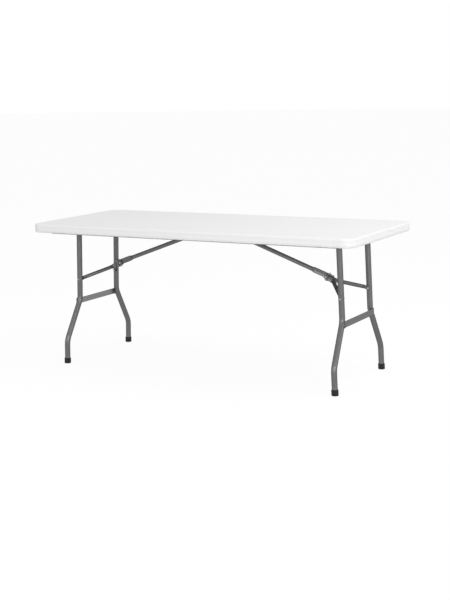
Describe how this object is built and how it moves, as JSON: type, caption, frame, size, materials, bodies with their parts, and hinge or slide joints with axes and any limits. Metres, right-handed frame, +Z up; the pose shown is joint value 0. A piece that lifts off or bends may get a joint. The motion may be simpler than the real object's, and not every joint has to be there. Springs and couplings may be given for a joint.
{
  "type": "folding table",
  "caption": "Folding table with a moulded white plastic top and grey steel leg frames that swing flat into its underside, each held open by a jointed stay with a sliding lock ring.",
  "frame": {"origin": "on the floor under the middle of the top, legs open", "axes": "+X along the length of the top, +Y towards the rear long side, +Z up"},
  "size_m": [1.8, 0.74, 0.74],
  "materials": {
    "white_plastic": "fine moulded texture",
    "grey_paint": "powder coat with a slight metallic sheen",
    "black_plastic": "satin",
    "zinc": "zinc plated"
  },
  "bodies": {
    "top": {"tabletop": "white_plastic", "side_rail_front": "grey_paint", "side_rail_rear": "grey_paint", "middle_bracket": "grey_paint", "strut_pin_left": "zinc", "strut_pin_right": "zinc", "rail_screw_front_1": "zinc", "rail_screw_front_2": "zinc", "rail_screw_front_3": "zinc", "rail_screw_front_4": "zinc", "rail_screw_rear_1": "zinc", "rail_screw_rear_2": "zinc", "rail_screw_rear_3": "zinc", "rail_screw_rear_4": "zinc", "bracket_screw_1": "zinc", "bracket_screw_2": "zinc", "bracket_screw_3": "zinc", "bracket_screw_4": "zinc"},
    "leg_frame_left": {"hinge_tube_left": "grey_paint", "crossbar_left": "grey_paint", "leg_front_left": "grey_paint", "leg_rear_left": "grey_paint", "foot_cap_front_left": "black_plastic", "foot_cap_rear_left": "black_plastic", "pivot_plug_front_left": "black_plastic", "pivot_plug_rear_left": "black_plastic", "leg_rivet_front_left": "zinc", "leg_rivet_rear_left": "zinc"},
    "strut_left": {"strut_left": "grey_paint", "knee_pin_left": "zinc"},
    "brace_left": {"brace_arm_front_left": "grey_paint", "brace_arm_rear_left": "grey_paint", "arm_rivet_front_left": "zinc", "arm_rivet_rear_left": "zinc"},
    "lock_ring_left": {"lock_ring_left": "zinc"},
    "leg_frame_right": {"hinge_tube_right": "grey_paint", "crossbar_right": "grey_paint", "leg_front_right": "grey_paint", "leg_rear_right": "grey_paint", "foot_cap_front_right": "black_plastic", "foot_cap_rear_right": "black_plastic", "pivot_plug_front_right": "black_plastic", "pivot_plug_rear_right": "black_plastic", "leg_rivet_front_right": "zinc", "leg_rivet_rear_right": "zinc"},
    "strut_right": {"strut_right": "grey_paint", "knee_pin_right": "zinc"},
    "brace_right": {"brace_arm_front_right": "grey_paint", "brace_arm_rear_right": "grey_paint", "arm_rivet_front_right": "zinc", "arm_rivet_rear_right": "zinc"},
    "lock_ring_right": {"lock_ring_right": "zinc"}
  },
  "joints": [
    {"name": "leg_fold_left", "type": "hinge", "parent": "top", "child": "leg_frame_left", "pos_m": [-0.742, 0, 0.701], "axis": [0, -1, 0], "range_deg": [0, 92.35]},
    {"name": "strut_swing_left", "type": "hinge", "parent": "top", "child": "strut_left", "pos_m": [-0.067, 0, 0.701], "axis": [0, -1, 0], "range_deg": [-20.36, 0]},
    {"name": "knee_left", "type": "hinge", "parent": "strut_left", "child": "brace_left", "pos_m": [-0.60271, 0, 0.5022], "axis": [0, -1, 0], "range_deg": [0, 175.18]},
    {"name": "lock_slide_left", "type": "slide", "parent": "strut_left", "child": "lock_ring_left", "axis": [0.9405, 0, 0.3397], "range_m": [0, 0.1561]},
    {"name": "leg_fold_right", "type": "hinge", "parent": "top", "child": "leg_frame_right", "pos_m": [0.742, 0, 0.701], "axis": [0, 1, 0], "range_deg": [0, 92.35]},
    {"name": "strut_swing_right", "type": "hinge", "parent": "top", "child": "strut_right", "pos_m": [0.067, 0, 0.701], "axis": [0, 1, 0], "range_deg": [-20.36, 0]},
    {"name": "knee_right", "type": "hinge", "parent": "strut_right", "child": "brace_right", "pos_m": [0.60271, 0, 0.5022], "axis": [0, 1, 0], "range_deg": [0, 175.18]},
    {"name": "lock_slide_right", "type": "slide", "parent": "strut_right", "child": "lock_ring_right", "axis": [-0.9405, 0, 0.3397], "range_m": [0, 0.1561]}
  ],
  "couplings": [
    {"joint": "strut_swing_left", "follows": "leg_fold_left", "ratio": -0.22047},
    {"joint": "knee_left", "follows": "leg_fold_left", "ratio": 1.8969},
    {"joint": "lock_slide_left", "follows": "leg_fold_left", "m_per_rad": 0.096786},
    {"joint": "strut_swing_right", "follows": "leg_fold_right", "ratio": -0.22047},
    {"joint": "knee_right", "follows": "leg_fold_right", "ratio": 1.8969},
    {"joint": "lock_slide_right", "follows": "leg_fold_right", "m_per_rad": 0.096786}
  ]
}
